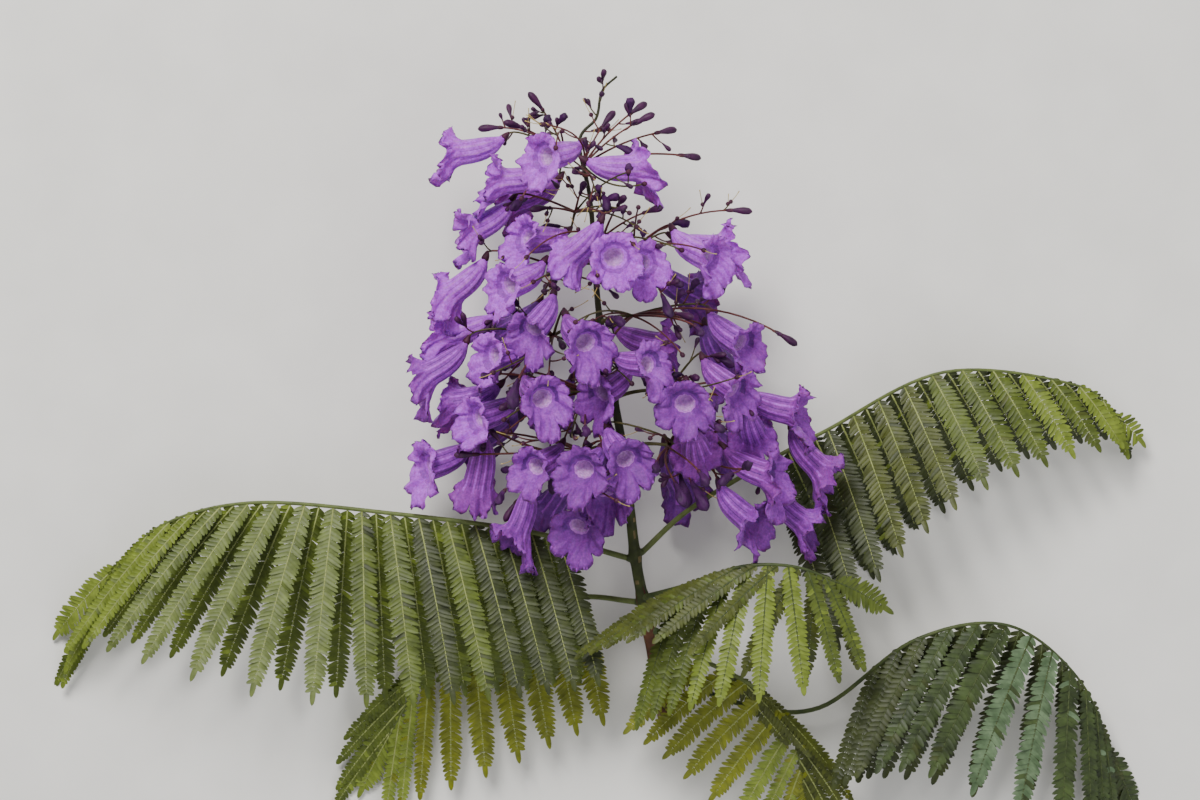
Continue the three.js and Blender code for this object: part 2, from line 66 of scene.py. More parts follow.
GAP = 0.35
STEM_PATH = [
    (17, -93, 3.9), (6, -32, 30), (0, 0, 44), (-7, 60, 58), (-19, 127, 64),
    (-24, 190, 66), (-30, 222, 67), (-21, 235, 68), (-18, 249, 69), (-10, 257, 70),
]
STEM = {"cut_radius": 3.7, "tip_radius": 0.6, "sides": 8, "steps": 27}
CURVE_STEPS = 200
HEAD = {"heights": (0, 50, 240), "radii": (84, 118, 66), "pressed": 0.72}
BLOOM = {"length": 38, "belly": 0.2, "belly_at": 0.36, "lobe": 14.8, "lower_longer": 0.1, "spread": 0.07}
BALLS = [(0.1, 3), (0.4, 7), (0.68, 8.6), (0.9, 10)]
LOBE_BALL = {"at": 0.7, "radius": 0.33}
ROOM = {"rounds": 70, "step": 0.25, "pushes": (0.35, 0.35, 1)}
TWIG = {
    "stalk": (1.1, 0.8), "twig": (0.8, 0.65), "room": 1.6, "arrival": (0.1, 0.3),
    "fork_at": (0.55, 0.45, 0.65, 0.35, 0.25), "bows": (0.08, 0.16, 0.26, 0.38, 0.5, 0.65),
}
TWIG_SHARES = (0.15, 0.3, 0.45, 0.6, 0.75, 0.88)
BUD_SHARES = (*TWIG_SHARES, 0.95, 1)
BUD = {"length": 13, "radius": 2, "neck": 0.6}

# A spray: where it leaves the stem, its open blooms, those of its under side and its buds.
# A bloom is its mouth's X and Y, its share of the head's depth, its droop and its swing in degrees.
# A bud, or a wilted bloom, is its tip's X and Y, its share and its size.
SPRAYS = {
    "spray_top_left": (
        216, [(-102, 216, 0.15, 16), (-56, 212, 0.95, 15, -20), (-79, 200, 0.25, 12)],
        [(-70, 192, -0.7, 20)], [(-57, 248, 0.2), (-70, 232, 0.4), (-84, 229, 0)],
    ),
    "spray_top_right": (
        205, [(8, 209, 0.55, 4, 50)], [],
        [(-11, 238, 0.2), (6, 243, 0), (10, 236, 0.4), (22, 229, -0.1), (35, 214, -0.3)],
    ),
    "spray_upper_left": (
        186, [(-94, 174, 0.35, 36), (-64, 170, 0.6, 7), (-39, 159, 0.4, 35, -100)], [],
        [(-56, 185, 0.45), (-27, 199, 0.6)],
    ),
    "spray_upper_front": (
        174, [(-11, 160, 1, 15), (8, 156, 0.7, 20, -5)], [], [(14, 186, 0.6), (-6, 191, 0.8)],
    ),
    "spray_middle_left": (
        158, [(-104, 138, 0.1, 41, -25), (-75, 143, 0.85, 25), (-60, 116, 0.8, 45)],
        [(-74, 120, -0.7, 35)], [],
    ),
    "spray_middle_right": (
        158, [(46, 157, 0.75, 31, -10), (54, 167, 0, 10)], [(38, 140, -0.7, 30)],
        [(18, 128, 0.7, 1.3), (62, 185, 0.2)],
    ),
    "spray_left": (
        127,
        [(-108, 117, 0.1, 20), (-117, 96, 0.4, 38), (-83, 107, 0.8, 20), (-104, 86, 0.05, 17, -27),
         (-20, 111, 0.85, 30, 32)], [(-92, 62, -0.6, 30)], [(-66, 132, 0.5), (-38, 112, 0.4)],
    ),
    "spray_right": (
        127, [(14, 104, 0.95, 10, 25), (64, 111, 0.45, 35, -25)],
        [(22, 113, 0.1, 20), (54, 97, -0.4, 60)], [(86, 114, 0.2), (30, 128, 0.6)],
    ),
    "spray_low_left": (
        87,
        [(-92, 74, 0.6, 22, 12), (-57, 48, 0.85, 25), (-44, 84, 0.9, 22, 50), (-26, 84, 0.5, 35, -30)],
        [(-50, 78, -0.8, 35)], [(-72, 80, 0.6)],
    ),
    "spray_low_right": (
        87, [(24, 82, 0.9, 22, -30), (59, 86, 0.8, 37), (64, 68, 0.15, 29, 86), (91, 76, 0.65, 20)],
        [(56, 56, -0.75, 40)], [(32, 96, 0.6)],
    ),
    "spray_foot_left": (
        60,
        [(-120, 48, 0.3, 23, 25), (-86, 34, 0.2, 66, -75), (-67, 8, 0.5, 75), (-33, 48, 0.9, 20),
         (-18, 25, 0.7, 70, 30), (-32, 14, 0.95, 45)], [(-50, 22, -0.7, 55)],
        [(-70, 20, 0.2), (-96, 56, 0.6)],
    ),
    "spray_foot_right": (
        60,
        [(105, 44, 0.1, 52), (79, 43, 0.6, 27), (67, 18, 0.85, 43), (96, 16, 0.5, 46),
         (-1, 50, 0.8, 35, 25), (32, 59, 0.35, 20, 120)], [(30, 34, -0.7, 50)],
        [(27, 28, 0.5, 1.5), (37, 27, 0.75, 1.6), (58, 52, 0.95, 1.3)],
    ),
}

# A leaf: where it leaves the stem, the share of it with no leaflets, its pairs of side ribs, the length of
# the first and the last and how far those lean to the leaf's tip, its path, the ways that its near and far
# side ribs hang, and its greens: four from foot to tip for the near row and one for the far row, which
# hangs lower and is mostly darker as painted shade.
LEAF = {
    "stalk_radius": 1.5, "sag": 0.14, "tip_reach": 0.5, "last_pair": 0.97, "rest_z": 1.5, "opened": 0.9,
    "half_width": 7.5, "least_width": 4.2, "midrib": (1.6, 0.5), "side_root": (1.5, 0.6), "gap": 2.2,
}
SHADED_FRONDS = ("frond_low_right", "frond_front")
WIDER_GAPS = {"frond_low_right": 2.6}
FRONDS = {
    "frond_left": (
        0, 0.13, 17, (80, 92), (-0.22, 3.6),
        [(-56, 14, 47), (-128, 24, 52), (-204, 30, 50), (-254, 18, 38), (-284, -8, 22)],
        (0.12, -1, 0.3), (0.05, -0.9, -0.28), ("dark", "mid", "grey", "light", "mid"),
    ),
    "frond_right": (
        3, 0.3, 13, (112, 32), (0.25, 1.4),
        [(28, 25, 34), (66, 48, 20), (103, 68, 22), (166, 100, 44), (238, 93, 34), (264, 74, 20)],
        (0.1, -1, 0.35), (0.15, -0.8, -0.45), ("dark", "olive", "mid", "light", "dark"),
    ),
    "frond_front": (
        -21, 0.25, 9, (78, 54), (-0.1, 1.4),
        [(26, -14, 66), (56, -3, 84), (84, -3, 86), (108, -12, 78)],
        (-0.3, -1, 0.15), (-0.9, -0.45, 0.1), ("mid", "light", "light", "mid", "olive"),
    ),
    "frond_low_left": (
        -24, 0.2, 9, (66, 60), (-0.05, 1.4),
        [(-32, -22, 26), (-74, -34, 20), (-112, -62, 14), (-134, -98, 8)],
        (0.2, -1, 0.02), (-0.85, -0.5, -0.1), ("yellow", "yellow", "yellow", "light", "mid"),
    ),
    # Its near row's pale third quarter is a painted sheen
    "frond_low_right": (
        -62, 0.42, 12, (70, 84), (-0.6, 1.4),
        [(55, -80, 10), (100, -82, 22), (150, -44, 46), (200, -36, 46), (240, -66, 30), (262, -112, 10)],
        (-0.15, -1, 0.35), (0.1, -0.9, -0.3), ("dark", "blue", "pale", "blue", "dark"),
    ),
    "frond_low_middle": (
        -40, 0.25, 8, (58, 46), (-0.05, 1.4),
        [(34, -54, 34), (64, -70, 36), (84, -94, 30), (92, -124, 16)],
        (-0.8, -0.6, 0.1), (0.75, -0.65, 0), ("yellow", "yellow", "light", "yellow", "olive"),
    ),
}

UP = np.array((0.0, 1.0, 0.0))


def unit(way):
    return way / np.linalg.norm(way)


def between(a, b, share):
    return a + (b - a) * share


def hill(x):
    """A smooth hill, 1 high."""
    return np.exp(-(x**2))


def turned(way, axis, angle):
    across = np.cross(axis, way)
    return way * math.cos(angle) + across * math.sin(angle) + axis * axis.dot(way) * (1 - math.cos(angle))


# Curves are functions from shares to points


def bezier(*controls):
    last = len(controls) - 1

    def curve(t):
        t = np.atleast_1d(t)[:, None]
        terms = (math.comb(last, k) * (1 - t) ** (last - k) * t**k * c for k, c in enumerate(controls))
        return sum(terms)

    return curve


def smooth(path):
    path = np.array(path, float)
    spans = len(path) - 1
    path = np.vstack([2 * path[0] - path[1], path, 2 * path[-1] - path[-2]])

    def curve(t):
        place = np.atleast_1d(t) * spans
        first = np.minimum(np.floor(place).astype(int), spans - 1)
        w = (place - first)[:, None]
        before, start, end, after = (path[first + k] for k in range(4))
        out, into = (end - before) / 2, (after - start) / 2
        bend = 3 * (end - start) - 2 * out - into
        return start + out * w + bend * w**2 + (2 * (start - end) + out + into) * w**3

    return curve


def tangents(curve, t):
    t = np.atleast_1d(t)
    way = curve(np.minimum(t + 1e-4, 1)) - curve(np.maximum(t - 1e-4, 0))
    return way / np.linalg.norm(way, axis=1)[:, None]


def lengths(curve):
    steps = np.diff(curve(np.linspace(0, 1, CURVE_STEPS + 1)), axis=0)
    return np.concatenate([[0], np.cumsum(np.linalg.norm(steps, axis=1))])


def length_of(curve):
    return lengths(curve)[-1]


def even(curve, shares):
    """The curve's own shares for shares of its length."""
    reached = lengths(curve)
    return np.interp(np.asarray(shares) * reached[-1], reached, np.linspace(0, 1, CURVE_STEPS + 1))


# The stem

stem_curve = smooth(STEM_PATH)
stem_shares = np.linspace(0, 1, 20001)
stem_table = np.ascontiguousarray(stem_curve(stem_shares).T)
CUT_Y, TIP_Y = STEM_PATH[0][1], STEM_PATH[-1][1]


def stem_at(y):
    return np.array([np.interp(y, stem_table[1], column) for column in stem_table])


def stem_radius(y):
    return between(STEM["cut_radius"], STEM["tip_radius"], np.clip((y - CUT_Y) / (TIP_Y - CUT_Y), 0, 1))


def leave_stem(y, target, radius):
    middle = stem_at(y)
    way = unit(target - middle)
    away = unit(way * (1, 0, 1))
    lean = math.sqrt(max(1 - way.dot(away) ** 2, 0))
    return middle + away * (stem_radius(y) * 1.04 + GAP + radius * lean)


# Blooms


def head_radius(y):
    return np.interp(y, HEAD["heights"], HEAD["radii"])


def in_head(x, y, share):
    middle = stem_at(y)
    reach = math.sqrt(max(head_radius(y) ** 2 - (x - middle[0]) ** 2, 20**2))
    return np.array((x, y, middle[2] + share * HEAD["pressed"] * reach))


def vary(index):
    """An even spread from -1 to 1."""
    return (index * 0.618034 % 1) * 2 - 1


class Bloom:
    """A bloom's mouth, the way it faces, its upper side, its size and its number."""

    def __init__(self, row, index):
        x, y, share, droop, swing = (*row, 0)[:5]
        self.index = index
        self.mouth = in_head(x, y, share)
        outward = unit((self.mouth - stem_at(y)) * (1, 0, 1))
        outward = turned(outward, UP, math.radians(swing))
        self.facing = outward * math.cos(math.radians(droop)) - UP * math.sin(math.radians(droop))
        up = outward * 0.6 + UP
        self.up = unit(up - self.facing * up.dot(self.facing))
        self.side = np.cross(self.facing, self.up)
        self.size = 1 + BLOOM["spread"] * vary(index)
        self.narrow = droop > 65
        self.length = BLOOM["length"] * self.size

    def foot(self):
        return self.mouth - self.facing * self.length

    def curve(self):
        belly = self.facing * BLOOM["belly_at"] - self.up * BLOOM["belly"]
        return bezier(self.foot(), self.foot() + belly * self.length, self.mouth)

    def balls(self):
        """Balls for the bloom: each one's share of its length, its place from the mouth and its radius."""
        curve = self.curve()
        balls = [(share, curve(share)[0] - self.mouth, radius) for share, radius in BALLS]
        for k in range(5):
            turn = (k + 0.5) / 5 * 2 * math.pi
            reach = BLOOM["lobe"] * (1 - BLOOM["lower_longer"] * np.cos(turn)) * self.size
            out = self.side * math.sin(turn) + self.up * math.cos(turn)
            balls.append((1, out * LOBE_BALL["at"] * reach, LOBE_BALL["radius"] * reach))
        return balls


def set_apart(blooms):
    """Pushes blooms that crowd each other, the stem or the floor apart, mostly in depth."""
    balls = [[(tuple(place), radius) for _, place, radius in bloom.balls()] for bloom in blooms]
    places = [np.array([place for place, _ in own]) for own in balls]
    radii = [np.array([radius for _, radius in own]) for own in balls]
    lowest = [max(radius - place[2] for place, radius in own) for own in balls]
    near = 2 * (BLOOM["length"] + BLOOM["lobe"])
    for _ in range(ROOM["rounds"]):
        for i, bloom in enumerate(blooms):
            for j in range(i + 1, len(blooms)):
                between_mouths = bloom.mouth - blooms[j].mouth
                if np.linalg.norm(between_mouths) > near:
                    continue
                apart = (places[i] + between_mouths)[:, None] - places[j][None]
                sums = radii[i][:, None] + radii[j][None]
                if (np.linalg.norm(apart, axis=2) < sums).any():
                    push_pair(bloom, blooms[j], balls[i], balls[j])
            for place, radius in balls[i]:
                ball = bloom.mouth + place
                apart = (ball - stem_at(ball[1])) * (1, 0, 1)
                crowded = radius + stem_radius(ball[1]) + 1 - np.linalg.norm(apart)
                if crowded > 0:
                    bloom.mouth = bloom.mouth + unit(apart) * crowded * ROOM["step"]
            bloom.mouth[2] = max(bloom.mouth[2], lowest[i])


def push_pair(a, b, balls_a, balls_b):
    ax, ay, az = a.mouth.tolist()
    bx, by, bz = b.mouth.tolist()
    px, py, pz = ROOM["pushes"]
    for (fx, fy, fz), radius_a in balls_a:
        for (gx, gy, gz), radius_b in balls_b:
            x, y, z = ax + fx - bx - gx, ay + fy - by - gy, az + fz - bz - gz
            long = math.sqrt(x * x + y * y + z * z)
            crowded = radius_a + radius_b - long
            if crowded > 0:
                push = crowded * ROOM["step"] / long
                x, y, z = x * px * push, y * py * push, z * pz * push
                ax, ay, az = ax + x, ay + y, az + z
                bx, by, bz = bx - x, by - y, bz - z
    a.mouth = np.array((ax, ay, az))
    b.mouth = np.array((bx, by, bz))


# Twigs, which keep clear of everything that is taken. Its owner is a bloom by its own number, a spray, the
# stem's tip or nobody.

NOBODY, TIP, FIRST_SPRAY = -1, 99, 100


class Taken:
    def __init__(self):
        self.places, self.radii, self.owners = np.zeros((0, 3)), np.zeros(0), np.zeros(0, int)

    def add(self, places, radii, owner):
        places = np.atleast_2d(places)
        self.places = np.vstack([self.places, places])
        self.radii = np.append(self.radii, np.broadcast_to(radii, len(places)))
        self.owners = np.append(self.owners, np.full(len(places), owner))

    def room(self, points, owners):
        """The room at the tightest of some points, not counting what the owners hold."""
        others = ~np.isin(self.owners, owners)
        away = np.linalg.norm(points[:, None] - self.places[others][None], axis=2) - self.radii[others]
        x, y, z = points.T
        middle = stem_at(y)
        return min(away.min(), (np.hypot(x - middle[0], z - middle[2]) - stem_radius(y)).min())


taken = Taken()


def roomiest(finds, margin, enough):
    """The roomiest find, up to the first with room enough. A later one has to win by a margin."""
    best_room, best = -math.inf, None
    for room, find in finds:
        if room > best_room + margin:
            best_room, best = room, find
        if best_room > enough:
            break
    return best


def clear_bow(start, end, owners, shares, arrival=None):
    """The controls of the bow between two points that bends the least and still keeps clear."""
    line = end - start
    long = np.linalg.norm(line)
    run = line / long
    first = unit(UP - run * run[1])
    if arrival is not None:
        before_end = end - arrival * long * between(*TWIG["arrival"], max(arrival.dot(line) / long, 0))

    def finds():
        for amount in TWIG["bows"]:
            for k in range(12):
                turn = (-1 if k % 2 else 1) * math.ceil(k / 2) * math.pi / 6
                lift = turned(first, run, turn) * amount * long
                early = between(start, end, 1 / 3) + lift
                late = between(start, end, 2 / 3) + lift if arrival is None else before_end
                yield taken.room(bezier(start, early, late, end)(np.array(shares)), owners), (early, late)

    return roomiest(finds(), 0.2, TWIG["room"])


def clear_curve(start, end, *rest):
    return bezier(start, *clear_bow(start, end, *rest), end)


def fork_of(node_y, blooms):
    node = stem_at(node_y)
    centre = sum(bloom.foot() for bloom in blooms) / len(blooms)

    def finds():
        for share in TWIG["fork_at"]:
            for aside in (0, 8, -8, 16, -16, 24, -24):
                fork = between(node, centre, share) + (0, abs(aside) / 2, aside)
                yield taken.room(fork[None], []), fork

    return roomiest(finds(), 0.5, 2 * TWIG["room"])


class Spray:
    """A stalk from the stem to a fork, and from there a twig to each bloom and each bud."""

    def __init__(self, name, owner, node_y, blooms, under, buds):
        self.name, self.owner, self.node_y, self.blooms, self.under = name, owner, node_y, blooms, under
        self.buds = [(*row, 1)[:4] for row in buds]

    def grow(self):
        steps = np.linspace(0, 1, 13)
        fork = fork_of(self.node_y, self.blooms + self.under)
        self.fork = fork
        start = leave_stem(self.node_y, fork, TWIG["stalk"][0])
        early, late = clear_bow(start, fork, [self.owner], TWIG_SHARES[1:])
        self.start = leave_stem(self.node_y, early, TWIG["stalk"][0])
        self.stalk = bezier(self.start, early, late, fork)
        taken.add(self.stalk(steps), between(*TWIG["stalk"], steps), self.owner)
        self.twigs = []
        for bloom in self.blooms + self.under:
            fused = bloom in self.under
            base = tangents(bloom.curve(), 0)[0]
            foot = bloom.foot() + base * (3 if fused else -GAP)
            owners = [self.owner, bloom.index]
            curve = clear_curve(fork, foot, owners, TWIG_SHARES, None if fused else base)
            taken.add(curve(steps), between(*TWIG["twig"], steps), self.owner)
            self.twigs.append((bloom, curve))
        self.bud_twigs = []
        for x, y, share, size in self.buds:
            curve = clear_curve(fork, in_head(x, y, share), [self.owner], BUD_SHARES)
            swollen = 1 - BUD["length"] * size / length_of(curve)
            taken.add(curve(steps), np.where(steps > swollen, BUD["radius"] * size, BUD["neck"]), self.owner)
            self.bud_twigs.append((curve, size, swollen))


def lay_out():
    sprays, index = [], 0
    for owner, (name, (node_y, open_rows, under_rows, buds)) in enumerate(SPRAYS.items(), FIRST_SPRAY):
        blooms = [Bloom(row, index + k) for k, row in enumerate(open_rows + under_rows)]
        index += len(blooms)
        shown = len(open_rows)
        sprays.append(Spray(name, owner, node_y, blooms[:shown], blooms[shown:], buds))
    blooms = [bloom for spray in sprays for bloom in spray.blooms + spray.under]
    set_apart(blooms)
    for bloom in blooms:
        for share, place, radius in bloom.balls():
            taken.add(bloom.mouth + place, radius, bloom.index if share < 0.5 else NOBODY)
    for spray in sprays:
        spray.grow()
    return sprays


# Piles of faces, each made into one piece


def frames(along):
    """For each of a curve's tangents, two directions across it that don't twist about it."""
    sides = []
    side = unit(np.cross(along[0], np.eye(3)[np.argmin(np.abs(along[0]))]))
    for way in along:
        side = unit(side - way * side.dot(way))
        sides.append(side)
    sides = np.array(sides)
    return sides, np.cross(sides, along)


def turns_of(sides):
    return np.arange(sides) / sides * 2 * math.pi


def rings_faces(rings, sides):
    """Quads that join rings, with both ends closed."""
    quads = [
        (first + k, first + (k + 1) % sides, first + sides + (k + 1) % sides, first + sides + k)
        for first in range(0, (rings - 1) * sides, sides)
        for k in range(sides)
    ]
    return [*quads, tuple(reversed(range(sides))), tuple(range((rings - 1) * sides, rings * sides))]


def placed(name, data):
    thing = bpy.data.objects.new(name, data)
    bpy.context.scene.collection.objects.link(thing)
    return thing


class Pile:
    """Faces of one kind, each with the name of its tone in a palette of materials."""

    def __init__(self, palette):
        self.palette, self.points, self.faces, self.tones, self.count = palette, [], [], [], 0

    def add(self, points, faces, tones):
        self.points.append(points)
        self.faces += [tuple(corner + self.count for corner in face) for face in faces]
        self.tones += tones if isinstance(tones, list) else [tones] * len(faces)
        self.count += len(points)

    def tube(self, curve, radii, tone, sides=6, span=(0, 1), relief=None):
        """A tube along part of a curve, with a ring for each radius."""
        shares = np.linspace(*span, len(radii))
        middle, along = curve(shares), tangents(curve, shares)
        side, rise = frames(along)
        turns = turns_of(sides)
        reach = np.array(radii, float)[:, None] * np.ones(sides)
        if relief is not None:
            reach = reach * relief(shares[:, None], turns[None])
        ring = middle[:, None] + side[:, None] * (np.sin(turns) * reach)[:, :, None]
        ring = ring + rise[:, None] * (np.cos(turns) * reach)[:, :, None]
        faces = rings_faces(len(radii), sides)
        tones = tone(shares, turns) if callable(tone) else tone
        self.add(ring.reshape(-1, 3), faces, tones)

    def piece(self, name, slot, nodes):
        mesh = bpy.data.meshes.new(name)
        points = (np.vstack(self.points) + shift) * 0.001
        mesh.from_pydata(points.tolist(), [], self.faces)
        for material in self.palette.values():
            mesh.materials.append(material)
        numbers = {tone: number for number, tone in enumerate(self.palette)}
        mesh.polygons.foreach_set("material_index", [numbers[tone] for tone in self.tones])
        mesh.update()
        mesh.shade_smooth()
        piece = placed(name, mesh)
        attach(piece, "root")
        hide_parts(*nodes)


def stem_corner():
    """The lowest corner of the source's stem, from which the whole object's shift follows."""
    shares = np.linspace(0, 1, STEM["steps"] + 1)
    middle, along = stem_curve(shares), tangents(stem_curve, shares)
    side = np.cross(along, (0, 0, 1))
    side = side / np.linalg.norm(side, axis=1)[:, None]
    rise = np.cross(side, along)
    turns = turns_of(STEM["sides"])
    radii = stem_radius(middle[:, 1])[:, None, None]
    ring = side[:, None] * np.sin(turns)[:, None] + rise[:, None] * np.cos(turns)[:, None]
    return (middle[:, None] + ring * radii).reshape(-1, 3).min(axis=0)


shift = np.array(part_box("stem")[0]) * 1000 - stem_corner()

# Materials

STOPS, NOISE_SPAN = (0.32, 0.68), (0.3, 0.7)
BUMP_DEPTH, GLOW_DEPTH, SPECULAR = 0.0004, 0.002, 0.35


def finish(name, dark, pale, grain, roughness, bump, detail=3.0, sheen=0.0, subsurface=0.0, mottle=0.0):
    """A material mottled between two tones at a grain in millimetres, with finer roughness and bump."""
    material = bpy.data.materials.new(name)
    material.use_nodes = True
    nodes, links = material.node_tree.nodes, material.node_tree.links
    shader = nodes["Principled BSDF"]
    place = nodes.new("ShaderNodeTexCoord").outputs["Object"]

    def add(kind, wires, values):
        node = nodes.new("ShaderNode" + kind)
        for socket, source in wires.items():
            links.new(source, node.inputs[socket])
        for socket, value in values.items():
            node.inputs[socket].default_value = value
        return node.outputs[0]

    def noise(size, depth=2.0):
        return add("TexNoise", {"Vector": place}, {"Scale": 1000 / size, "Detail": depth})

    ramp = nodes.new("ShaderNodeValToRGB")
    links.new(noise(grain, detail), ramp.inputs["Fac"])
    for stop, at, tone in zip(ramp.color_ramp.elements, STOPS, (dark, pale)):
        stop.position = at
        stop.color = linear(tone)

    def mapped(size, low, high, span=(0, 1)):
        ends = {"From Min": span[0], "From Max": span[1], "To Min": low, "To Max": high}
        return add("MapRange", {"Value": noise(size)}, ends)

    shade = mapped(grain / 3, 1 - mottle, 1 + mottle, NOISE_SPAN)
    colour = add("HueSaturation", {"Color": ramp.outputs["Color"], "Value": shade}, {})
    spread = mapped(grain / 2, *roughness)
    normal = add("Bump", {"Height": noise(grain / 4)}, {"Strength": bump, "Distance": BUMP_DEPTH})
    for socket, source in (("Base Color", colour), ("Roughness", spread), ("Normal", normal)):
        links.new(source, shader.inputs[socket])
    shader.inputs["Sheen Weight"].default_value = sheen
    shader.inputs["Subsurface Weight"].default_value = subsurface
    shader.inputs["Subsurface Scale"].default_value = GLOW_DEPTH
    shader.inputs["Specular IOR Level"].default_value = SPECULAR
    return material


def linear(colour):
    """A colour from its hex code."""
    parts = [int(colour[k : k + 2], 16) / 255 for k in (1, 3, 5)]
    return (*[c / 12.92 if c <= 0.04045 else ((c + 0.055) / 1.055) ** 2.4 for c in parts], 1)


# Petal tones from pale to deep. Light, mid, rose, dusk and deep are dealt out by place as painted light and
# shade
PETALS = {
    "light": ("#a03cc4", "#be5ae6"),
    "mid": ("#8030a2", "#9c46bc"),
    "rose": ("#7c2c96", "#9640ae"),
    "dusk": ("#6a2688", "#8638a4"),
    "deep": ("#551c78", "#6f308e"),
    "ridge_highlight": ("#aa5ac6", "#bc6ed4"),
    "blush": ("#ae64c4", "#c07ad2"),
    "throat": ("#b682c6", "#cc9cd4"),
}
GREENS = {
    "mid": ("#3e4a0e", "#556318"),
    "light": ("#5c6b1a", "#76862c"),
    "grey": ("#4e5a26", "#68753a"),
    "olive": ("#383f10", "#4e5618"),
    "dark": ("#262e0c", "#394214"),
    "blue": ("#232d14", "#405026"),
    # A painted sheen: the pale green on the third quarter of frond_low_right's near row
    "pale": ("#43583a", "#64795a"),
    "yellow": ("#585e04", "#72780a"),
}
# For each tube tone, the paler tone painted on the tops of its ridges as a highlight
RIDGE_HIGHLIGHTS = {"light": "ridge_highlight", "mid": "light", "rose": "light", "dusk": "mid", "deep": "mid"}
RIBS = {
    "green": ("#7f8a48", "#9aa264", 6, (0.45, 0.6), 0.3),
    "dark": ("#33401f", "#4a552a", 6, (0.45, 0.65), 0.3),
    "olive": ("#4c582a", "#66723c", 6, (0.45, 0.65), 0.3),
}
TWIGS = {
    "olive": ("#3c3a1c", "#565028", 4, (0.5, 0.7), 0.5),
    "maroon": ("#482426", "#6c3830", 4, (0.5, 0.7), 0.4),
    "straw": ("#a08a4a", "#c0aa66", 4, (0.5, 0.7), 0.3),
}
BUDS = {
    "purple": ("#2c0a30", "#481644", 4, (0.45, 0.65), 0.5),
    "calyx": ("#300e24", "#4c1a36", 3, (0.5, 0.7), 0.5),
    "wilted": ("#280632", "#461250", 5, (0.55, 0.75), 0.9),
}
BARK = {
    "brown": ("#42281a", "#603c28", 5, (0.65, 0.85), 0.9, 6.0),
    "green": ("#2c3414", "#40491e", 5, (0.5, 0.7), 0.6, 5.0),
    "dark": ("#202211", "#333519", 5, (0.45, 0.65), 0.6, 5.0),
    "lenticel": ("#665a3a", "#7c6e48", 2, (0.7, 0.85), 0.6),
    "cut": ("#b89a66", "#d2b884", 2, (0.7, 0.85), 0.5),
}


def palette(kind, rows, **more):
    return {name: finish(f"{kind}_{name}", *row, **more) for name, row in rows.items()}


petal_palette = palette(
    "petal", PETALS, grain=3.5, roughness=(0.5, 0.75), bump=0.8, detail=4.0, sheen=0.04,
    subsurface=0.12, mottle=0.22,
)
leaf_palette = palette("leaf", GREENS, grain=9, roughness=(0.4, 0.6), bump=0.3, sheen=0.03, mottle=0.16)
rib_palette, twig_palette = palette("rib", RIBS), palette("twig", TWIGS)
bud_palette, bark_palette = palette("bud", BUDS), palette("bark", BARK)

# Blooms as they look: a ribbed bell with five ruffled lobes that unroll from its rim, and a pale throat.
# The tube and the throat have a share of the bloom's length and a radius for each ring.

COLUMNS = 90
RIDGE_COUNT = 10
TUBE = np.array([
    (0.03, 1.2), (0.08, 1.7), (0.14, 2.5), (0.21, 3.7), (0.29, 4.9),
    (0.38, 5.9), (0.47, 6.6), (0.57, 7.0), (0.67, 7.2), (0.76, 7.4),
])
THROAT = np.array([
    (0.765, 6.2), (0.75, 5.0), (0.725, 4.3), (0.69, 3.9), (0.64, 3.6), (0.59, 2.9), (0.56, 1.3),
])
OUT = np.array([0.12, 0.26, 0.4, 0.55, 0.7, 0.85, 1.0])
# A calyx ring has the depth of its teeth too
CALYX = np.array([
    (-0.05, 0.6, 0), (-0.02, 1.2, 0), (0.02, 1.8, 0), (0.06, 2.05, 0),
    (0.1, 2.2, 0.015), (0.1, 1.9, 0.012), (0.06, 1.5, 0),
])
LIMB = {
    "at": 0.76, "notch": 7.4, "lobe": 5.0, "lower_longer": 4.0, "wall": 0.4, "steps": 40,
    "first_angle": 8, "last_angle": 94, "lower_ahead": 26, "uneven": 30, "twist": 30, "ruffle": 2.3,
    "sag": 3.0, "grown": (0.88, 1.38), "side_on_closed": 0.38, "narrow_open": 0.6,
}


def around(bloom, forward, radius, turn):
    """Places on a bloom's tube, from shares of its length, radii and turns about its curve."""
    curve = bloom.curve()
    forward, radius = np.broadcast_arrays(forward, radius)
    inside = np.clip(forward, 0, 1).ravel()
    middle, along = curve(inside), tangents(curve, inside)
    rise = np.cross(bloom.side, along)
    across = (np.sin(turn) * radius * bloom.size).ravel()[:, None]
    above = (np.cos(turn) * radius * bloom.size).ravel()[:, None]
    ahead = ((forward.ravel() - inside) * bloom.length)[:, None]
    return (middle + along * ahead + bloom.side * across + rise * above).reshape(*forward.shape, 3)


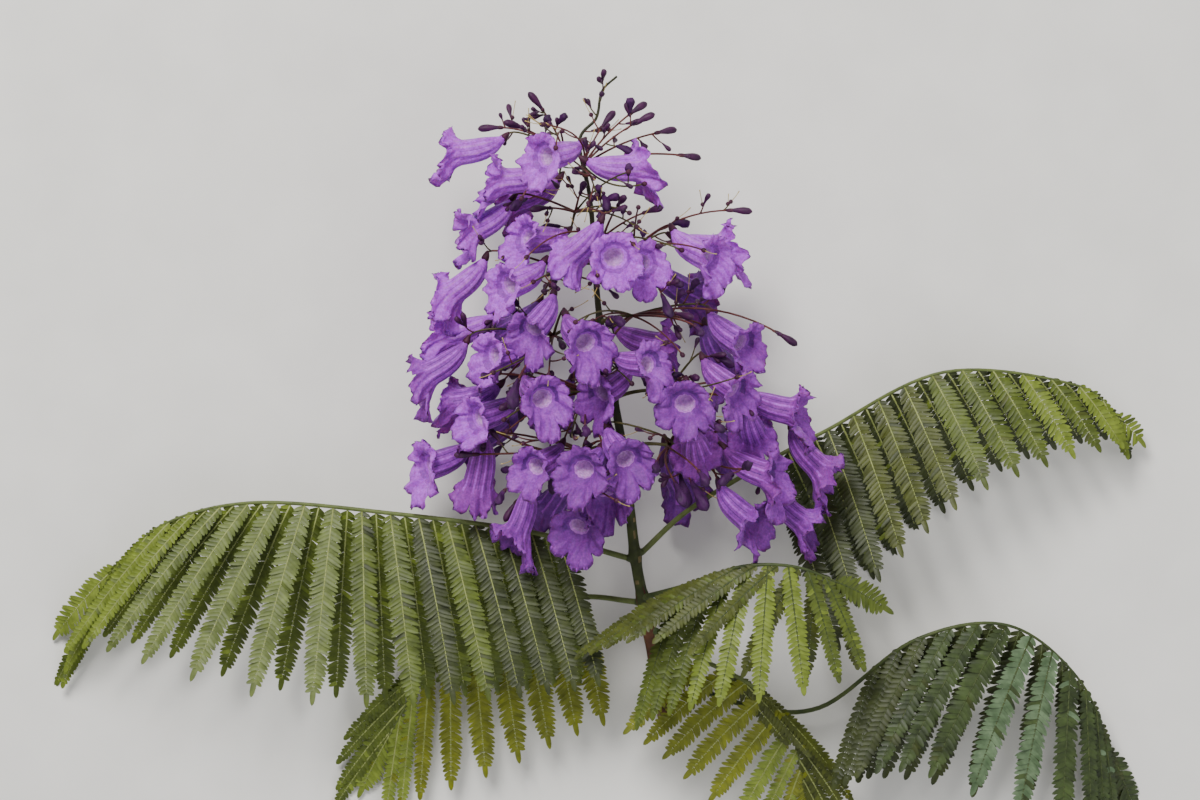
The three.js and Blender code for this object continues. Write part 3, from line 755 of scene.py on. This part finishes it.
def unroll(bloom, chance, turn):
    """The limb's outer and inner sheet, from the end of the tube out to the ruffled rim."""
    place = turn / (2 * math.pi) * 5
    in_lobe, lobe = place % 1 * 2 - 1, place.astype(int) % 5
    low = -np.cos(turn)

    def each_lobe(spread):
        return np.array([chance.uniform(-spread, spread) for _ in range(5)])[lobe]

    broad = (1 - np.abs(in_lobe) ** 2.6) ** 0.55
    phase, other = each_lobe(math.pi), each_lobe(math.pi)
    dent = 0.9 * hill((in_lobe - each_lobe(0.25)) / 0.2)
    ragged = 0.5 * np.sin(8 * in_lobe + other) + 0.4 * np.sin(15 * in_lobe + phase)
    lobe_length = (LIMB["lobe"] + LIMB["lower_longer"] * low) * (1 + each_lobe(0.18))
    side_on = 1 - np.clip(abs(bloom.facing[2]) / 0.6, 0, 1)
    grown = between(*LIMB["grown"], side_on)
    length = grown * (LIMB["notch"] + lobe_length * broad + (ragged - dent) * broad)
    closed = 1 - LIMB["side_on_closed"] * side_on
    open_up = chance.uniform(0.82, 1.1) * (LIMB["narrow_open"] if bloom.narrow else closed)
    last = (LIMB["last_angle"] - LIMB["lower_ahead"] * low) * open_up
    last = last + (each_lobe(LIMB["uneven"]) + each_lobe(LIMB["twist"]) * in_lobe) * broad

    fine = np.linspace(0, 1, LIMB["steps"] + 1)[:, None]
    angle = np.radians(LIMB["first_angle"] + (last - LIMB["first_angle"]) * fine**0.85)
    middle = (angle[1:] + angle[:-1]) / 2
    step = length / LIMB["steps"]
    ahead = np.vstack([np.zeros(COLUMNS), np.cumsum(np.cos(middle) * step, axis=0)])
    wide = np.vstack([np.zeros(COLUMNS), np.cumsum(np.sin(middle) * step, axis=0)]) + TUBE[-1, 1]
    waves = (
        0.8 * np.sin(3.4 * in_lobe + phase) + 0.5 * np.sin(8 * in_lobe + other + 4 * fine)
        + 0.34 * np.sin(14 * in_lobe + 11 * fine + phase) + 0.25 * np.sin(10 * fine + 5 * in_lobe + other)
    )
    lift = grown * LIMB["ruffle"] * waves * fine**1.15 * (0.35 + 0.65 * broad)

    def sheet(shares, wall):
        rows = (shares * LIMB["steps"]).round().astype(int)
        off = lift[rows] + wall
        out_wide = wide[rows] - np.cos(angle[rows]) * off
        out_ahead = ahead[rows] + np.sin(angle[rows]) * off
        start, along = bloom.curve()(LIMB["at"])[0], tangents(bloom.curve(), LIMB["at"])[0]
        rise = np.cross(bloom.side, along)
        around_axis = bloom.side * np.sin(turn)[:, None] + rise * np.cos(turn)[:, None]
        sag = LIMB["sag"] * shares[:, None] ** 2 * (0.55 + 0.45 * low)
        points = start + bloom.size * (along * out_ahead[..., None] + around_axis * out_wide[..., None])
        return points - UP * sag[..., None] * bloom.size

    return sheet(OUT, 0), sheet(OUT[-2::-1], LIMB["wall"])


def painted_shading_tones(bloom):
    """Face, tube and groove tones, painted light and shade: palest at the top left, deepest underneath."""
    x, y, z = bloom.mouth
    # Painted shade: blooms low in the head, under the others, take darker tones
    if z < 50:
        return ("mid", "rose", "deep") if y > 150 else ("dusk", "deep", "deep")
    # Painted light and shade: paler towards the top and left, where the key lamp stands, with a small random
    # spread
    to_right = np.clip((x + 60) / 110, -0.6, 0.45) * np.clip((170 - y) / 80, 0, 1)
    shade = (140 - y) / 100 + to_right + 0.3 * vary(bloom.index * 3 + 1)
    if shade < 0.1:
        return ("light", "light", "mid")
    if shade < 0.5:
        return ("light", "mid", "deep") if bloom.index % 2 else ("mid", "mid", "deep")
    if shade < 1.25:
        return ("mid", "rose", "deep")
    return ("dusk", "mid", "deep")


def add_bloom(pile, bloom):
    chance = random.Random(bloom.index * 17 + 5)
    turn = turns_of(COLUMNS)
    low = -np.cos(turn)

    # The tube's ridges are strongest below, and it is pressed a little flat
    ridges = np.cos(RIDGE_COUNT * turn)
    flat = 1 - 0.05 * np.cos(2 * turn)
    at, radius = TUBE.T[:, :, None]
    swell = np.clip((at - 0.12) / 0.25, 0, 1)
    tube = around(bloom, at, radius * (1 + swell * ridges * (0.035 + 0.015 * low)) * flat, turn)
    at, radius = THROAT.T[:, :, None]
    throat = around(bloom, at, radius * flat * (1 + 0.03 * ridges), turn)
    outside, inside = unroll(bloom, chance, turn)
    points = np.vstack([tube, outside, inside, throat])

    face_tone, tube_tone, groove_shade = painted_shading_tones(bloom)
    rim_row, throat_row = len(TUBE) + len(OUT) - 1, len(TUBE) + 2 * len(OUT) - 2

    def tone(row, middle):
        wave, inward = math.cos(RIDGE_COUNT * middle), row - throat_row
        if inward > 1:
            return "blush" if inward < 3 else "throat"
        if row >= rim_row:
            # Painted shade at the mouth of the throat: the band of the limb round it is darker, above and at
            # the sides, or all round on a pale face
            throat_rim_shade = "mid" if face_tone == "light" else "deep" if -math.cos(middle) < 0.2 else face_tone
            return throat_rim_shade if inward in (-1, 0) else face_tone
        # Painted highlight on the tops of the tube's ridges, and painted shade in its grooves
        if wave > 0.85 and 3 < row < len(TUBE) + 2:
            return RIDGE_HIGHLIGHTS[tube_tone]
        return groove_shade if wave < -0.85 and 2 < row < len(TUBE) else tube_tone

    tones = [tone(row, middle) for row in range(len(points) - 1) for middle in turn + math.pi / COLUMNS]
    pile.add(points.reshape(-1, 3), rings_faces(len(points), COLUMNS), [*tones, "deep", "throat"])


def add_calyx(pile, bloom):
    """The dark cup at a bloom's foot, with five blunt teeth."""
    sides = 15
    turn = turns_of(sides)
    at, radius, teeth = CALYX.T[:, :, None]
    points = around(bloom, at + teeth * np.cos(5 * turn), radius, turn)
    pile.add(points.reshape(-1, 3), rings_faces(len(CALYX), sides), "calyx")


# Buds, wilted blooms and the finest twigs. A cup is the radii of a small calyx. An empty calyx has its
# places along the twig's way and its radii, and the same for the style left in it, with how far that sags.

CLUB = np.array([
    (0.0, 0.3), (0.1, 0.42), (0.25, 0.5), (0.42, 0.72), (0.6, 0.95),
    (0.75, 1.0), (0.88, 0.85), (0.96, 0.5), (1, 0.1),
])
CLUB_RINGS = np.linspace(0, 1, 13)
KNUCKLE = (0.18, 0.08)
CUPS = {"bud": (0.6, 1.0, 1.15, 1.1, 0.7), "wilted": (0.6, 1.0, 1.2, 1.1, 0.7)}
EMPTY = {
    "shoot": ((0, 1.2, 2.4), (0.5, 1.0, 1.25, 1.2, 0.7), (2, 6, 11), (0.28, 0.22, 0.2, 0.2, 0.3), 0.5),
    "bare": ((-0.5, 1.2, 2.6), (0.6, 1.1, 1.35, 1.3, 0.8), (2, 7, 12), (0.3, 0.24, 0.2, 0.2, 0.32), 0.6),
}
SHOOT = {"ways": 10, "least_z": 4, "room": 1.6, "empty": 0.2, "wilted": 0.8, "maroon": 0.6}
BUD_SIZES, WILTED_SIZES = (3.6, 9.5), (8, 12)
BARE = {
    "tries": 16, "most": 3, "room": 0.6, "styled": 0.5, "aside": (-42, 42), "along": (-26, 22),
    "share": (0.5, 1.05), "inside": 0.85,
}
UPPER_SPRAYS = 7

# Small wilted blooms on the near side, which hang from a fork: the tip's X and Y, its share and the length
WILTED = {
    "spray_left": [(-64, 80, 1.05, 26)],
    "spray_low_left": [(-26, 66, 0.95, 16), (-80, 96, 0.75, 15)],
    "spray_foot_left": [(-72, 30, 0.85, 15)],
    "spray_foot_right": [(10, 47, 0.9, 15), (24, 30, 0.95, 22), (36, 40, 1, 17)],
    "spray_right": [(34, 118, 0.85, 14)],
}


def knuckled(start, end, rings):
    """Radii that taper and swell a little at both ends, where a twig joins others."""
    t = np.linspace(0, 1, rings)
    high, long = KNUCKLE
    return between(start, end, t) * (1 + high * hill(t / long) + high * hill((1 - t) / long))


def club(pile, curve, start, radius, tone, creased, sides):
    """A bud: a neck that swells to a blunt five-sided club."""
    shares = np.interp(CLUB_RINGS, np.linspace(0, 1, len(CLUB)), CLUB[:, 0])
    radii = np.interp(shares, *CLUB.T) * radius
    phase = radius * 7.0

    def stretched(t):
        return curve(start + (1 - start) * np.interp(t, CLUB_RINGS, shares))

    def relief(t, turn):
        folds = 0.07 * np.cos(5 * turn)
        return 1 + folds + creased * (np.sin(3 * turn + 9 * t + phase) + 0.6 * np.sin(7 * turn - 5 * t))

    pile.tube(stretched, radii, tone, sides=sides, relief=relief)


def roomiest_way(start, along, first, owners, reach):
    """Of several ways off a twig, the one with the most room for a shoot."""
    (across,), (over,) = frames(along[None])

    def finds():
        for k in range(SHOOT["ways"]):
            turn = first + k * 2 * math.pi / SHOOT["ways"]
            way = unit(across * math.cos(turn) + over * math.sin(turn) + along * 0.55 + UP * 0.15)
            end = start + way * reach
            if end[2] >= SHOOT["least_z"]:
                yield taken.room(np.array([between(start, end, 0.6), end, end + way * 5]), owners), way

    return roomiest(finds(), 0.3, SHOOT["room"])


def add_empty_calyx(piles, foot, way, kind, styled):
    twigs, budded = piles
    cup, cup_radii, style, style_radii, sag = EMPTY[kind]
    budded.tube(bezier(*(foot + way * at for at in cup)), cup_radii, "calyx", sides=8)
    if styled:
        start, middle, end = (foot + way * at for at in style)
        twigs.tube(bezier(start, middle - UP * sag, end + UP * 0.5), style_radii, "straw", sides=5)


def shoot(piles, start, along, chance, owners, reach, buds):
    """A short side twig that ends in small buds or an empty calyx."""
    twigs, budded = piles
    first = chance.uniform(0, 6.3)
    best = roomiest_way(start, along, first, owners, reach)
    end = start + best * reach
    curve = bezier(start, between(start, end, 0.5) + UP * -0.12 * reach, end)
    twigs.tube(curve, np.linspace(0.5, 0.34, 5), maroon_or_olive(chance), sides=5)
    taken.add(curve(np.linspace(0, 1, 4)), 0.5, owners[0])
    (side,), (rise,) = frames(best[None])
    for k in range(buds):
        turn = first + k * 2.4
        lean = 0.5 if k else 0
        way = unit(best + (side * math.cos(turn) + rise * math.sin(turn)) * lean)
        size = chance.uniform(*BUD_SIZES)
        foot = end - best * (chance.uniform(0.5, 3.0) if k else 0)
        kind = chance.random()
        if kind < SHOOT["empty"]:
            add_empty_calyx(piles, foot, way, "shoot", True)
        elif kind > SHOOT["wilted"] and k == 0:
            size = chance.uniform(*WILTED_SIZES)
            bent = bezier(foot, foot + way * size * 0.5, foot + way * size - UP * size * 0.3)
            club(budded, bent, 0, size * 0.21, "wilted", 0.16, 14)
        else:
            bent = bezier(foot, foot + way * size * 0.5, foot + way * size + rise * size * 0.12)
            club(budded, bent, 0, 0.55 + size * 0.12, "purple", 0, 8)


def maroon_or_olive(chance):
    return "maroon" if chance.random() < SHOOT["maroon"] else "olive"


def shoots_along(piles, curve, shares, likely, reach, counts, owners, chance):
    for share in shares:
        if chance.random() < likely:
            place, way = curve(share)[0], tangents(curve, share)[0]
            shoot(piles, place, way, chance, owners, chance.uniform(*reach), chance.choice(counts))


def end_twig(piles, curve, swollen, club_radius, tone, cup, cup_ahead, creased, sides):
    """A twig that ends in a bud or a wilted bloom, with a small calyx round its neck."""
    twigs, budded = piles
    twigs.tube(curve, knuckled(0.7, 0.5, 12), "maroon", span=(0, swollen + 0.02))
    club(budded, curve, swollen, club_radius, tone, creased, sides)
    neck = bezier(curve(swollen - 0.01)[0], curve(swollen + 0.02)[0], curve(swollen + cup_ahead)[0])
    budded.tube(neck, cup, "calyx", sides=9)


def hang_wilted(piles, spray):
    hang = unit(np.array((0.1, -1, 0.2)))
    for x, y, share, long in WILTED.get(spray.name, ()):
        curve = clear_curve(spray.fork, in_head(x, y, share), [spray.owner], BUD_SHARES, hang)
        swollen = 1 - long / length_of(curve)
        end_twig(piles, curve, swollen, 1 + long * 0.075, "wilted", CUPS["wilted"], 0.05, 0.24, 18)


def add_bare_twigs(piles, spray, chance):
    """Twigs whose blooms have dropped: each ends in an empty calyx, and most carry a shoot."""
    shares = np.array(BUD_SHARES[1:])
    grown = 0
    for _ in range(BARE["tries"]):
        x = spray.fork[0] + chance.uniform(*BARE["aside"])
        y = spray.fork[1] + chance.uniform(*BARE["along"])
        share = chance.uniform(*BARE["share"])
        if grown == BARE["most"] or abs(x - stem_at(y)[0]) > BARE["inside"] * head_radius(y):
            continue
        tip = in_head(x, y, share)
        curve = clear_curve(spray.fork, tip, [spray.owner], shares)
        if taken.room(curve(shares), [spray.owner]) < BARE["room"]:
            continue
        grown += 1
        piles[0].tube(curve, knuckled(0.62, 0.42, 12), maroon_or_olive(chance))
        taken.add(curve(np.linspace(0, 1, 13)), 0.6, spray.owner)
        add_empty_calyx(piles, tip, tangents(curve, 1)[0], "bare", chance.random() < BARE["styled"])
        shoots_along(piles, curve, (0.5, 0.78), 0.7, (5, 11), (1, 2), [spray.owner], chance)


def dress_spray(petals, piles, spray, chance):
    twigs, buds = piles
    node = stem_at(spray.node_y)
    away = spray.start - node
    root = bezier(node + away * 0.4, node + away * 0.7, spray.start + tangents(spray.stalk, 0)[0] * 0.5)
    twigs.tube(root, (2.0, 1.7, 1.4, 1.25), "olive", sides=8)
    twigs.tube(spray.stalk, knuckled(*TWIG["stalk"], 14), "olive", sides=8)
    for bloom, curve in spray.twigs:
        twigs.tube(curve, knuckled(0.78, 0.5, 12), "maroon" if bloom.index % 3 else "olive")
        add_bloom(petals, bloom)
        add_calyx(buds, bloom)
        roomy = [share for share in (0.55, 0.85) if length_of(curve) * share > 9]
        shoots_along(piles, curve, roomy, 0.85, (5, 10), (1, 2, 3), [spray.owner, bloom.index], chance)
    for curve, size, swollen in spray.bud_twigs:
        kind, creased, sides = ("wilted", 0.16, 16) if size > 1 else ("purple", 0.0, 14)
        end_twig(piles, curve, swollen, BUD["radius"] * size, kind, CUPS["bud"], 0.06, creased, sides)
        shares = (0.35, 0.6, swollen - 0.03)
        shoots_along(piles, curve, shares, 0.75, (4, 9), (1, 2, 2), [spray.owner], chance)
    hang_wilted(piles, spray)


def dress_sprays(sprays):
    upper, lower = Pile(petal_palette), Pile(petal_palette)
    piles = Pile(twig_palette), Pile(bud_palette)
    for number, spray in enumerate(sprays):
        petals = upper if number < UPPER_SPRAYS else lower
        dress_spray(petals, piles, spray, random.Random(number * 31 + 7))
    for number, spray in enumerate(sprays):
        add_bare_twigs(piles, spray, random.Random(number * 47 + 11))
    chance = random.Random(91)
    for y in (228, 236, 243, 250):
        share = np.interp(y, stem_table[1], stem_shares)
        shoot(piles, stem_at(y), tangents(stem_curve, share)[0], chance, [TIP], 7, 2)
    bloom_names = [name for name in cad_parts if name.startswith("bloom_")]
    open_above = sum(len(spray.blooms) for spray in sprays[:UPPER_SPRAYS])
    upper.piece("blossom_upper", "petal", bloom_names[:open_above])
    lower.piece("blossom_lower", "petal", bloom_names[open_above:])
    piles[0].piece("head_twigs", "twig", SPRAYS)
    piles[1].piece("buds_and_calyces", "twig", SPRAYS)


# The stem's bark

BARK_MESH = {"rings": 240, "sides": 28, "spots": 26, "node": (0.16, 3.2)}
BROWN_BELOW, DARK_ABOVE = -24, 44


def dress_stem(sprays):
    shares = np.linspace(0, 1, BARK_MESH["rings"])
    heights = stem_curve(shares)[:, 1]
    radii = stem_radius(heights)
    high, long = BARK_MESH["node"]
    for y in [spray.node_y for spray in sprays] + [row[0] for row in FRONDS.values()]:
        radii = radii * (1 + high * hill((heights - y) / long))
    radii[0] *= 0.93
    chance = random.Random(4)
    spots = [(chance.uniform(0, 0.3), chance.uniform(0, 6.3)) for _ in range(BARK_MESH["spots"])]

    def aside(turn, at):
        return (turn - at + math.pi) % (2 * math.pi) - math.pi

    def relief(t, turn):
        ripple = 0.02 * np.sin(11 * turn - 40 * t) * np.sin(60 * t + 2 * turn)
        out = 1 + 0.035 * np.sin(5 * turn + 9 * t) + ripple
        for share, at in spots:
            out = out + 0.09 * np.exp(-(((t - share) / 0.004) ** 2) - (aside(turn, at) / 0.25) ** 2)
        return out

    def tone(t, turns):
        tones = []
        for share, y in zip(t[:-1], heights):
            near = [at for spot, at in spots if abs(share - spot) < 0.0028]
            for turn in turns:
                edge = y + 7 * math.sin(3 * turn + 1) + 4 * math.sin(7 * turn)
                bark = "brown" if edge < BROWN_BELOW else "green" if edge < DARK_ABOVE else "dark"
                tones.append("lenticel" if any(abs(aside(turn, at)) < 0.3 for at in near) else bark)
        return [*tones, "cut", "dark"]

    pile = Pile(bark_palette)
    pile.tube(stem_curve, radii, tone, BARK_MESH["sides"], relief=relief)
    pile.piece("stem_bark", "bark", ["stem"])


# The leaves

LEAFLET = np.array([(0.0, 0.42), (0.16, 0.52), (0.4, 0.54), (0.68, 0.48), (0.88, 0.3), (1.0, 0.0)])
LEAFLET_FACES = [face for k in range(4) for face in ((k, 6 + k, 7 + k, k + 1), (k, k + 1, 12 + k, 11 + k))]
LEAFLET_FACES += [(4, 10, 5), (4, 5, 15)]


def row_length(u, reach):
    return between(*reach, math.sqrt(u)) * (0.7 + 0.3 * math.sin(math.pi * (0.15 + 0.75 * u)))


def side_rib(root, way, length):
    controls = [root, root + way * 0.5 * length, root + way * length - UP * LEAF["sag"] * length]
    for point in controls[1:]:
        point[2] = max(point[2], LEAF["rest_z"])
    return bezier(*controls)


def opened(forward, way):
    """The way that a side rib's leaflets face: out of the leaf's plane, and turned up."""
    plane = unit(np.cross(forward, way))
    if plane[2] < 0:
        plane = -plane
    plane = plane + (0, 0, LEAF["opened"])
    return unit(plane - way * plane.dot(way))


def add_leaflet(pile, root, way, across, over, length, width, tone):
    """A pointed oblong in ten faces, folded a little along its middle and drooping to its tip."""
    u, half = LEAFLET.T[:, :, None]
    half = half * width
    spine = root + way * u * length - over * 0.1 * length * u**2
    left = spine + across * half + over * half * 0.28
    right = spine - across * half + over * half * 0.28
    pile.add(np.vstack([spine, left[:-1], right[:-1]]), LEAFLET_FACES, tone)


def dress_side_rib(piles, looks, curve, plane, half_width, greens):
    """A side rib with its two rows of leaflets and the one at its end."""
    leaflets, ribs = piles
    gap, rib_tone, chance = looks
    ribs.tube(curve, between(0.55, 0.22, np.linspace(0, 1, 9)), rib_tone, sides=5)
    count = max(int(length_of(curve) * 0.94 / gap), 3)
    shares = even(curve, np.linspace(0.015, 0.985, count))
    middles, alongs = curve(shares), tangents(curve, shares)
    profile = np.interp(shares, (0, 0.08, 0.3, 0.7, 0.9, 1), (0.6, 0.8, 1.0, 1.0, 0.78, 0.5))
    for middle, along, wide in zip(middles, alongs, profile * half_width):
        lateral = unit(np.cross(plane, along))
        over = unit(np.cross(along, lateral))
        for side in (1, -1):
            angle = math.radians(chance.uniform(56, 66))
            lift = chance.uniform(-0.1, 0.22)
            way = unit(lateral * side * math.sin(angle) + along * math.cos(angle) + over * lift)
            reach = wide / math.sin(angle) * chance.uniform(0.92, 1.08)
            across = unit(np.cross(over, way))
            tone = greens[chance.random() < 0.06]
            add_leaflet(leaflets, middle, way, across, unit(np.cross(way, across)), reach, gap * 0.98, tone)
    lateral = unit(np.cross(plane, along))
    over = np.cross(along, lateral)
    add_leaflet(leaflets, curve(0.99)[0], along, lateral, over, half_width * 1.2, gap * 1.3, greens[0])


def dress_fronds():
    ribs = Pile(rib_palette)
    for number, (name, row) in enumerate(FRONDS.items()):
        root_y, bare, pairs, reach, fan, path, near, far, greens = row
        chance = random.Random(number * 13 + 3)
        start = leave_stem(root_y, path[0], LEAF["stalk_radius"])
        midrib = smooth([start, *path])
        midrib_tone, rib_tone = ("dark", "dark") if name in SHADED_FRONDS else ("olive", "green")
        node = stem_at(root_y)
        foot = bezier(between(node, start, 0.4), between(node, start, 0.8), start + tangents(midrib, 0)[0])
        ribs.tube(foot, (2.8, 2.5, 2.1, 1.75), "dark", sides=10)
        ribs.tube(midrib, between(*LEAF["midrib"], np.linspace(0, 1, 70)), midrib_tone, sides=8)
        spacing = length_of(midrib) * (LEAF["last_pair"] - bare) / (pairs - 1)
        leaflets = Pile(leaf_palette)
        piles, looks = (leaflets, ribs), (WIDER_GAPS.get(name, LEAF["gap"]), rib_tone, chance)
        for offset, hang in ((0, near), (0.5, far)):
            for k in range(pairs):
                u = (k + offset) / (pairs - 0.5)
                t = even(midrib, between(bare, LEAF["last_pair"], u))
                forward = tangents(midrib, t)[0]
                way = unit(unit(np.array(hang, float)) + forward * between(*fan, u**3))
                across = np.linalg.norm(np.cross(way, forward))
                half_width = max(min(LEAF["half_width"], 0.5 * spacing * across), LEAF["least_width"])
                root = midrib(t)[0] + way * 0.5 * between(*LEAF["side_root"], t)
                curve = side_rib(root, way, row_length(u, reach))
                # Painted shade: the far row hangs lower and takes the frond's last, mostly darker green; the
                # near row's greens run foot to tip
                shade = min(int((u + chance.uniform(-0.12, 0.12)) * 4), 3) if hang is near else 4
                pair = (greens[max(shade, 0)], greens[max(shade - 1, 0)])
                dress_side_rib(piles, looks, curve, opened(forward, way), half_width, pair)
        end = tangents(midrib, 1)[0]
        plane = opened(unit(np.array(near, float)), end)
        curve = side_rib(midrib(0.985)[0], end, reach[1] * LEAF["tip_reach"])
        dress_side_rib(piles, looks, curve, plane, LEAF["half_width"], (greens[3], greens[2]))
        leaflets.piece(name.replace("frond", "leaflets"), "leaf", [name])
    ribs.piece("leaf_ribs", "leaf", FRONDS)


# The studio

FLOOR_REACH = 6


def studio():
    floor = bpy.data.meshes.new("floor")
    corners = [(x * FLOOR_REACH, y * FLOOR_REACH, 0) for x, y in ((-1, -1), (1, -1), (1, 1), (-1, 1))]
    floor.from_pydata(corners, [], [(0, 1, 2, 3)])
    floor.materials.append(finish("floor_paper", "#e9e8e4", "#efeeea", 40, (0.8, 0.95), 0.05))
    placed("floor", floor)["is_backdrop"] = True

    def lamp(name, place, size, power, colour):
        light = bpy.data.lights.new(name, "AREA")
        light.shape = "DISK"
        light.size = size
        light.energy = power
        light.color = colour
        holder = placed(name, light)
        holder.location = place
        x, y, z = place
        holder.rotation_euler = (math.atan2(math.hypot(x, y), z), 0, math.atan2(-y, -x) - math.pi / 2)

    lamp("key", (-0.5, 1.3, 1.9), 1.0, 62, (1.0, 0.98, 0.95))
    lamp("fill", (1.2, -1.1, 1.7), 2.0, 16, (0.98, 0.98, 1.0))
    world = bpy.data.worlds.new("studio")
    world.use_nodes = True
    background = world.node_tree.nodes["Background"]
    background.inputs["Color"].default_value = (0.95, 0.95, 0.95, 1)
    background.inputs["Strength"].default_value = 0.46
    bpy.context.scene.world = world


def camera():
    """Straight above, a long lens on the photograph's frame, which is 636 mm wide at the flowers."""
    lens, sensor, wide = 125, 36, 636
    view = bpy.data.cameras.new("camera")
    view.lens = lens
    view.sensor_width = sensor
    middle = (np.array((-19, 85, 75)) + shift) * 0.001
    holder = placed("camera", view)
    holder.location = (middle[0], middle[1], middle[2] + wide * 0.001 * lens / sensor)
    bpy.context.scene.camera = holder


sprays = lay_out()
camera()
studio()
dress_stem(sprays)
dress_sprays(sprays)
dress_fronds()

{name: [list(corner) for corner in box] for name, box in (("cad", cad_box), ("visual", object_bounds()))}
